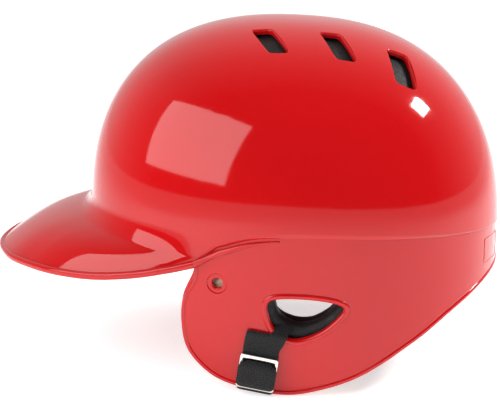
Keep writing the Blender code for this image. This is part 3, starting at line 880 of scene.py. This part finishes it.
def make_rim_bead():
    """The rounded bead round the flaps and the skirt's lower rim."""
    line = [Vector((RIM[0][0], RIM_BEAD_START)), *spaced(RIM_LINE, RIM_BEAD_ROWS)]
    path, outs = [], []
    for degrees, level in reversed(line):
        angle = math.radians(degrees)
        path.append(wall_point(angle, level, BEAD_DEPTH))
        outs.append(wall_out(angle, level, SKIRT_INSET))
    edge = [path[0], *path, path[-1]]
    for index, out in enumerate(outs):
        run = (edge[index + 2] - edge[index]).normalized()
        path[index] = path[index] + run.cross(out) * RIM_BEAD_IN
    mesh = sweep("rim_bead", mirrored_line(path), mirrored_line(outs), oval_section(*RIM_BEAD))
    finish_piece(add_object("rim_bead", mesh, RED), "helmet", "shell_plastic")


def wall_ring(name, outline, depth, section, material):
    """A closed bar along an outline of the left wall and its mirror image, on the helmet."""
    line = smooth_line(outline, RING_STEPS, closed=True)
    path = [wall_at(y, height, depth) for y, height in line]
    outs = [surface_normal(at, SKIRT_INSET) for at in line]
    mesh = sweep(name + "_left", path, outs, section, closed=True)
    left = add_object(name + "_left", mesh, material)
    return left, add_object(name + "_right", mirrored_mesh(mesh, name + "_right"))


def make_ear_bead():
    """The rounded ring about each ear hole."""
    for obj in wall_ring("ear_hole_bead", EAR_HOLE, BEAD_DEPTH, oval_section(*EAR_BEAD), RED):
        finish_piece(obj, "helmet", "shell_plastic")


def make_blank_frame():
    """A blank embossed panel outline low on the left side of the back."""
    first, last = FRAME_ANGLES
    low, high = FRAME_LEVELS
    corners = [(first, low), (last, low), (last, high), (first, high)]
    path, outs = [], []
    for start, end in zip(corners, corners[1:] + corners[:1]):
        for step in range(FRAME_STEPS + 1):
            t = FRAME_CORNER + (1 - 2 * FRAME_CORNER) * step / FRAME_STEPS
            degrees = start[0] + (end[0] - start[0]) * t
            level = start[1] + (end[1] - start[1]) * t
            path.append(wall_point(math.radians(degrees), level, SKIRT_INSET))
            outs.append(wall_out(math.radians(degrees), level, SKIRT_INSET))
    section = oval_section(*FRAME_EDGE, sides=FRAME_EDGE_SIDES)
    mesh = sweep("blank_panel_frame", path, outs, section, closed=True)
    finish_piece(add_object("blank_panel_frame", mesh, RED), "helmet", "shell_plastic")


# ---------------------------------------------------------------- padding
CUSHION_SHRINK = 0.0010
CUSHION_VOXEL = 0.0030
FOAM_VOXEL = 0.0009
CLOTH_QUALITY = 6
CLOTH_PRESSURE = 4.0
CLOTH_FRAMES = 20
# How far a point may move towards the shell and towards the head.
OUTER_CAP = 0.0018
INNER_CAP = 0.0042
DOME_MIDDLE = Vector((0.0, CENTRE_Y, WAIST_HEIGHT))


def plump(obj):
    """Blow a cushion up a little as cloth, and hold each point near where it started."""
    start = [vertex.co.copy() for vertex in obj.data.vertices]
    cloth = obj.modifiers.new("cloth", "CLOTH")
    cloth.settings.quality = CLOTH_QUALITY
    cloth.settings.use_pressure = True
    cloth.settings.uniform_pressure_force = CLOTH_PRESSURE
    cloth.settings.effector_weights.gravity = 0.0
    cloth.collision_settings.use_collision = False
    cloth.point_cache.frame_start = 1
    cloth.point_cache.frame_end = CLOTH_FRAMES
    for step in range(1, CLOTH_FRAMES + 1):
        bpy.context.scene.frame_set(step)
    mesh = evaluated_mesh(obj)
    obj.modifiers.clear()
    for vertex, first in zip(mesh.vertices, start):
        move = vertex.co - first
        outward = first - DOME_MIDDLE
        cap = OUTER_CAP if move.dot(outward) > 0 else INNER_CAP
        if move.length > cap:
            vertex.co = first + move.normalized() * cap
    obj.data = mesh
    bpy.context.scene.frame_set(1)


def node_copy(node, name, shrink=0.0):
    """A CAD node's solid without its material, its points merged and drawn in."""
    obj = add_object(name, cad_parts[node].data.copy())
    obj.data.materials.clear()
    bm = bmesh.new()
    bm.from_mesh(obj.data)
    bmesh.ops.remove_doubles(bm, verts=bm.verts, dist=1e-5)
    for vertex in bm.verts:
        vertex.co -= vertex.normal * shrink
    bm.to_mesh(obj.data)
    bm.free()
    return obj


def remesh(obj, voxel, smoothing):
    """Rebuild a mesh from even voxels and soften its edges."""
    modifier = obj.modifiers.new("remesh", "REMESH")
    modifier.mode = "VOXEL"
    modifier.voxel_size = voxel
    apply_modifiers(obj)
    modifier = obj.modifiers.new("soften", "SMOOTH")
    modifier.iterations = smoothing
    modifier.factor = 0.5
    apply_modifiers(obj)


def cushion_mesh(node):
    obj = node_copy(node, node + "_work", CUSHION_SHRINK)
    remesh(obj, CUSHION_VOXEL, smoothing=4)
    plump(obj)
    relax = obj.modifiers.new("relax", "SMOOTH")
    relax.iterations = 2
    relax.factor = 0.5
    finer = obj.modifiers.new("finer", "SUBSURF")
    finer.levels = 1
    finer.render_levels = 1
    mesh = evaluated_mesh(obj)
    bpy.data.objects.remove(obj, do_unlink=True)
    mesh.shade_smooth()
    return mesh


def add_cushion(name, mesh, node):
    """A black cushion on the helmet that stands for a CAD pad."""
    obj = add_object(name, mesh, COVER)
    finish_piece(obj, "helmet", "pad_cover", node)


def make_cushions():
    for node in ("crown_pad", "forehead_pad", "sweatband", "rear_pad", "nape_pad"):
        add_cushion(node + "_cushion", cushion_mesh(node), node)
    for kind in ("temple_pad", "side_pad", "back_side_pad", "ear_pad"):
        left = cushion_mesh(kind + "_left")
        right = mirrored_mesh(left, kind + "_cushion_right")
        add_cushion(kind + "_cushion_left", left, kind + "_left")
        add_cushion(kind + "_cushion_right", right, kind + "_right")


def make_collars():
    """The ear cushions' rolled cover, which turns out to the shell about each ear hole."""
    section = oval_section(*COLLAR_SIZE, sides=COLLAR_SIDES)
    for obj in wall_ring("ear_collar", COLLAR, SKIRT_INSET + COLLAR_INSET, section, COVER):
        finish_piece(obj, "helmet", "pad_cover")


def make_foam():
    """The cream foam layer between each flap and its ear cushion."""
    for side in ("left", "right"):
        node = "ear_foam_" + side
        obj = node_copy(node, node + "_layer")
        obj.data.materials.append(FOAM)
        remesh(obj, FOAM_VOXEL, smoothing=5)
        obj.data.shade_smooth()
        finish_piece(obj, "helmet", "foam", node)


# ---------------------------------------------------------------- straps and sliders
def strap_frame():
    """The strap's own frame on the left flap, from its top middle: towards the brim, down and out."""
    top = wall_at(*STRAP_TOP, SKIRT_INSET)
    bottom = wall_at(*STRAP_BOTTOM, SKIRT_INSET)
    down = (bottom - top).normalized()
    middle = ((STRAP_TOP[0] + STRAP_BOTTOM[0]) / 2, (STRAP_TOP[1] + STRAP_BOTTOM[1]) / 2)
    out = surface_normal(middle, SKIRT_INSET)
    across = down.cross(out).normalized()
    out = across.cross(down)
    turn = Matrix((across, down, out)).transposed().to_4x4()
    return Matrix.Translation(top) @ turn, (bottom - top).length


STRAP_PLACE, STRAP_LENGTH = strap_frame()
SLIDER_BODIES = ("left_slider", "right_slider")


def join_rings(bm, strip, rings, marks):
    """Faces between rings of points, with each corner's strip coordinates, and the two end caps."""
    size = len(rings[0])
    for index in range(len(rings) - 1):
        for place in range(size):
            after = (place + 1) % size
            spots = ((index, place), (index, after), (index + 1, after), (index + 1, place))
            made = bm.faces.new([rings[row][spot] for row, spot in spots])
            for loop, (row, spot) in zip(made.loops, spots):
                loop[strip].uv = marks[row][spot]
    bm.faces.new(reversed(rings[0]))
    bm.faces.new(rings[-1])


def ribbon_mesh(name, route):
    """Webbing through across, down, out and width values in the strap's frame, with strip coordinates."""
    bm = bmesh.new()
    strip = bm.loops.layers.uv.new("strip")
    line = smooth_line(route, RIBBON_STEPS)
    rings, marks = [], []
    travelled = 0.0
    for index, at in enumerate(line):
        before, after = line[max(index - 1, 0)], line[min(index + 1, len(line) - 1)]
        run = Vector((0.0, after[1] - before[1], after[2] - before[2])).normalized()
        face = Vector((0.0, -run.z, run.y))
        if index:
            travelled += (Vector(at[:3]) - Vector(line[index - 1][:3])).length
        ring, mark = [], []
        for upper in (1, -1):
            for column in range(RIBBON_COLUMNS + 1):
                share = (column / RIBBON_COLUMNS * 2 - 1) * upper
                edge = math.sqrt(max(1 - abs(share) ** 10, 0.0))
                middle = Vector((at[0] + share * at[3] / 2, at[1], at[2]))
                local = middle - face * upper * WEBBING_THICKNESS / 2 * edge
                ring.append(bm.verts.new(STRAP_PLACE @ local))
                mark.append((share * at[3] / 2, travelled))
        rings.append(ring)
        marks.append(mark)
    join_rings(bm, strip, rings, marks)
    bmesh.ops.remove_doubles(bm, verts=bm.verts, dist=MERGE_DISTANCE)
    bmesh.ops.recalc_face_normals(bm, faces=bm.faces)
    return as_mesh(bm, name)


def add_pair(name, mesh, material, bodies, slot, nodes):
    """A left piece and its mirror image, each on its own body."""
    left = add_object(name + "_left", mesh, material)
    right = add_object(name + "_right", mirrored_mesh(mesh, name + "_right"))
    for obj, body, node in zip((left, right), bodies, nodes):
        finish_piece(obj, body, slot, node)


def make_straps():
    """Webbing folded out of the ear hole, laid down the flap and tucked in under its rim."""
    half = WEBBING_THICKNESS / 2
    face = WEBBING_CLEARANCE + half
    inner = -SHELL_THICKNESS - 0.0008 - half
    end = STRAP_LENGTH + 0.0004 + half
    strip = (
        (-0.0006, 0.0052, 0.0008, WEBBING_WIDTH - 0.0012),
        (-0.0004, 0.0022, 0.0009, WEBBING_WIDTH - 0.0008),
        (-0.0003, 0.0010, face - 0.0004, WEBBING_WIDTH - 0.0006),
        (-0.0002, 0.0024, face + 0.0006, WEBBING_WIDTH - 0.0003),
        (0.0, 0.0065, face + 0.0003, WEBBING_WIDTH),
        (0.0, 0.0120, face, WEBBING_WIDTH),
        (0.0, STRAP_LENGTH * 0.7, face, WEBBING_WIDTH),
        (0.0, end - 0.0018, face, WEBBING_WIDTH),
        (0.0, end, face - 0.0016, WEBBING_WIDTH),
        (0.0, end, inner + 0.0016, WEBBING_WIDTH),
        (0.0, end - 0.0018, inner, WEBBING_WIDTH),
        (0.0, end - 0.0050, inner, WEBBING_WIDTH),
    )
    shoulder = (
        (-0.0098, -0.0032, inner - 0.0006, 0.0088),
        (-0.0092, -0.0014, -0.0010, 0.0092),
        (-0.0082, 0.0008, face + 0.0004, 0.0096),
        (-0.0077, 0.0040, face + 0.0003, 0.0092),
        (-0.0070, 0.0080, face - 0.0002, 0.0078),
        (-0.0062, 0.0120, face - 0.0005, 0.0064),
    )
    bm = bmesh.new()
    for part, route in (("strip", strip), ("shoulder", shoulder)):
        bm.from_mesh(ribbon_mesh("webbing_" + part, route))
    mesh = as_mesh(bm, "strap_webbing")
    mesh.set_sharp_from_angle(angle=math.radians(WEBBING_CREASE))
    nodes = ("strap_left", "strap_right")
    add_pair("strap_webbing", mesh, WEBBING, ("helmet", "helmet"), "webbing", nodes)


def rounded_spline(curve, low, high, radius):
    """Add a closed rectangle with round corners, from its low to its high corner, to a curve."""
    points = []
    for corner_x, corner_y, start in (
        (high[0] - radius, high[1] - radius, 0.0),
        (low[0] + radius, high[1] - radius, 90.0),
        (low[0] + radius, low[1] + radius, 180.0),
        (high[0] - radius, low[1] + radius, 270.0),
    ):
        for step in range(CORNER_STEPS + 1):
            turn = math.radians(start + 90.0 * step / CORNER_STEPS)
            points.append((corner_x + radius * math.cos(turn), corner_y + radius * math.sin(turn)))
    spline = curve.splines.new("POLY")
    spline.points.add(len(points) - 1)
    for point, (x, y) in zip(spline.points, points):
        point.co = (x, y, 0.0, 1.0)
    spline.use_cyclic_u = True


def make_sliders():
    """A flat nickel frame with a middle bar and softly rounded edges."""
    face = WEBBING_CLEARANCE + WEBBING_THICKNESS + SLIDER_CLEARANCE
    bottom = SLIDER_TOP + SLIDER_HEIGHT
    middle = (SLIDER_TOP + bottom) / 2
    soft = 0.00042
    outer_corner, inner_corner = 0.0012, 0.0010
    side_bar = SLIDER_BAR * 0.7
    half = SLIDER_WIDTH / 2 - soft
    inner = SLIDER_WIDTH / 2 - side_bar + soft
    curve = bpy.data.curves.new("slider_outline", "CURVE")
    curve.dimensions = "2D"
    curve.fill_mode = "BOTH"
    curve.extrude = SLIDER_THICKNESS / 2 - soft
    curve.bevel_depth = soft
    curve.bevel_resolution = 3
    rounded_spline(curve, (-half, SLIDER_TOP + soft), (half, bottom - soft), outer_corner)
    upper_window = (SLIDER_TOP + SLIDER_BAR, middle - SLIDER_BAR / 2)
    lower_window = (middle + SLIDER_BAR / 2, bottom - SLIDER_BAR)
    for start, end in (upper_window, lower_window):
        rounded_spline(curve, (-inner, start - soft), (inner, end + soft), inner_corner)
    flat = add_object("slider_outline", curve)
    mesh = evaluated_mesh(flat)
    bpy.data.objects.remove(flat, do_unlink=True)
    bm = bmesh.new()
    bm.from_mesh(mesh)
    bmesh.ops.remove_doubles(bm, verts=bm.verts, dist=MERGE_DISTANCE)
    bm.transform(STRAP_PLACE @ Matrix.Translation((0, 0, face + SLIDER_THICKNESS / 2)))
    bmesh.ops.recalc_face_normals(bm, faces=bm.faces)
    mesh = as_mesh(bm, "slider_frame")
    mesh.set_sharp_from_angle(angle=math.radians(METAL_CREASE))
    mesh.materials.clear()
    nodes = ("slider_left", "slider_right")
    add_pair("slider_frame", mesh, NICKEL, SLIDER_BODIES, "slider_metal", nodes)


def make_keepers():
    """The webbing that wraps the slider's bar, seen as its black tongue."""
    gap = 0.0003
    face = WEBBING_CLEARANCE + WEBBING_THICKNESS + SLIDER_CLEARANCE + SLIDER_THICKNESS + gap
    start = SLIDER_TOP + 0.0031
    length = TONGUE_HEIGHT - 0.0008
    edge_share = 0.35
    # The share of the length, of the rise and of the width.
    shape = (
        (0.0, 0.10, 0.60),
        (0.03, 0.45, 0.66),
        (0.09, 0.80, 0.79),
        (0.15, 0.95, 0.91),
        (0.21, 1.0, 0.99),
        (0.26, 1.0, 1.0),
        (0.55, 1.0, 1.0),
        (0.78, 0.85, 1.0),
        (0.90, 0.60, 0.99),
        (0.97, 0.42, 0.90),
        (1.0, 0.25, 0.84),
    )
    bm = bmesh.new()
    strip = bm.loops.layers.uv.new("strip")
    rings, marks = [], []
    for along, rise, width in shape:
        down = start + length * along
        half = TONGUE_WIDTH * width / 2
        top = face + WEBBING_THICKNESS + (TONGUE_RISE - WEBBING_THICKNESS) * rise
        ring, mark = [], []
        for upper in (1, -1):
            for column in range(TONGUE_COLUMNS + 1):
                share = (column / TONGUE_COLUMNS * 2 - 1) * upper
                edge = math.sqrt(max(1 - abs(share) ** 8, 0.0))
                out = (top + face) / 2 + upper * (top - face) / 2 * (edge_share + (1 - edge_share) * edge)
                ring.append(bm.verts.new(STRAP_PLACE @ Vector((share * half, down, out))))
                mark.append((share * half, down))
        rings.append(ring)
        marks.append(mark)
    join_rings(bm, strip, rings, marks)
    bmesh.ops.recalc_face_normals(bm, faces=bm.faces)
    mesh = as_mesh(bm, "slider_tongue")
    mesh.set_sharp_from_angle(angle=math.radians(TONGUE_CREASE))
    nodes = ("slider_keeper_left", "slider_keeper_right")
    add_pair("slider_tongue", mesh, WEBBING, SLIDER_BODIES, "webbing", nodes)


# ---------------------------------------------------------------- studio
CAMERA_AT = Vector((1.0650, 0.0004, 0.3635))
CAMERA_TARGET = Vector((0.0, 0.0004, 0.0881))
CAMERA_LENS = 133.6
# Plan positions on the dome where the camera sees the lights mirrored.
KEY_SEEN_AT = ((0.062, -0.043), (0.082, -0.003), (0.093, -0.008), (0.069, -0.056))
KEY_DISTANCE = 0.8
STAR_SEEN_AT = (0.0627, 0.0942)
STAR_DISTANCE = 0.9
FLOOR_RADIUS = 9.0
FLOOR_GAP = 0.0002
WORLD_STRENGTH = 0.62


def make_camera():
    bpy.context.scene.view_settings.view_transform = "Standard"
    data = bpy.data.cameras.new("camera")
    data.lens = CAMERA_LENS
    data.sensor_width = 36.0
    camera = bpy.data.objects.new("camera", data)
    bpy.context.scene.collection.objects.link(camera)
    camera.location = CAMERA_AT
    camera.rotation_euler = (CAMERA_TARGET - CAMERA_AT).to_track_quat("-Z", "Y").to_euler()
    bpy.context.scene.camera = camera


def reflected(at, distance):
    """Where a light stands so that the camera sees it mirrored at a plan position of the dome."""
    point = dome_above(*at)
    normal = dome_out(*at)
    ray = (point - CAMERA_AT).normalized()
    return point + (ray - normal * 2 * ray.dot(normal)) * distance


def area_light(name, at, target, size, power):
    """A rectangular light of a given size and power that faces a target."""
    data = bpy.data.lights.new(name, "AREA")
    data.shape = "RECTANGLE"
    data.size, data.size_y = size
    data.energy = power
    light = bpy.data.objects.new(name, data)
    bpy.context.scene.collection.objects.link(light)
    look = (Vector(target) - Vector(at)).to_track_quat("-Z", "Y").to_matrix().to_4x4()
    light.matrix_world = Matrix.Translation(at) @ look
    return light


def softbox(name, corners, distance, power):
    """A rectangular light that fills the quadrangle mirrored between four places of the dome."""
    spots = [reflected(corner, distance) for corner in corners]
    middle = sum(spots, Vector()) / 4
    across = (spots[1] - spots[0] + spots[2] - spots[3]) / 2
    rising = (spots[0] - spots[3] + spots[1] - spots[2]) / 2
    facing = (middle - Vector((0, CENTRE_Y, 0.12))).normalized()
    x_axis = (across - facing * across.dot(facing)).normalized()
    y_axis = facing.cross(x_axis)
    light = area_light(name, middle, (0, 0, 0), (across.length, rising.length), power)
    turn = Matrix((x_axis, y_axis, facing)).transposed().to_4x4()
    light.matrix_world = Matrix.Translation(middle) @ turn


def make_floor():
    """A wide pale floor that glows a little, so that its shadows stay faint."""
    bm = bmesh.new()
    bmesh.ops.create_circle(bm, cap_ends=True, segments=96, radius=FLOOR_RADIUS)
    floor = add_object("floor", as_mesh(bm, "floor"))
    floor.location.z = -FLOOR_GAP
    material, tree, shader, at = start_material("pale_floor", {
        "Roughness": 0.9, "Specular IOR Level": 0.1,
        "Emission Color": (1, 1, 1, 1), "Emission Strength": 0.60,
    })
    pale = mixed(tree, noise(tree, at, 3.0), (0.93, 0.93, 0.93), (0.91, 0.91, 0.91))
    tree.links.new(pale, shader.inputs["Base Color"])
    floor.data.materials.append(material)


def make_world():
    """A pale studio that lights less from the camera's side and looks white behind the helmet."""
    world = bpy.data.worlds.new("studio")
    bpy.context.scene.world = world
    world.use_nodes = True
    tree = world.node_tree
    background = tree.nodes["Background"]
    background.inputs["Color"].default_value = (1.0, 1.0, 1.0, 1.0)
    coordinates = add_node(tree, "ShaderNodeTexCoord")
    parts = add_node(tree, "ShaderNodeSeparateXYZ")
    tree.links.new(coordinates.outputs["Generated"], parts.inputs["Vector"])
    spread = add_node(tree, "ShaderNodeMapRange", values={
        "From Min": -0.6, "From Max": 0.35, "To Min": 1.2, "To Max": 0.08,
    })
    tree.links.new(parts.outputs["X"], spread.inputs["Value"])
    seen = add_node(tree, "ShaderNodeLightPath")
    lit = math_node(tree, "MULTIPLY", spread.outputs["Result"], WORLD_STRENGTH)
    shown = math_node(tree, "MAXIMUM", seen.outputs["Is Camera Ray"], lit)
    tree.links.new(shown, background.inputs["Strength"])


def make_lights():
    """A softbox from the front, a wide bank overhead, and a small light behind for the star."""
    softbox("key_softbox", KEY_SEEN_AT, KEY_DISTANCE, 5.0)
    bank = area_light("top_bank", (0.15, 0.05, 1.3), (0, 0.03, 0.1), (1.1, 1.4), 5.6)
    bank.visible_glossy = False
    star_at = reflected(STAR_SEEN_AT, STAR_DISTANCE)
    area_light("star", star_at, (0, 0.05, 0.12), (0.17, 0.13), 9.0)


make_camera()
make_crown()
make_skirt()
make_brim_bead()
make_rim_bead()
make_ear_bead()
make_blank_frame()
make_cushions()
make_collars()
make_foam()
make_straps()
make_sliders()
make_keepers()
make_floor()
make_world()
make_lights()
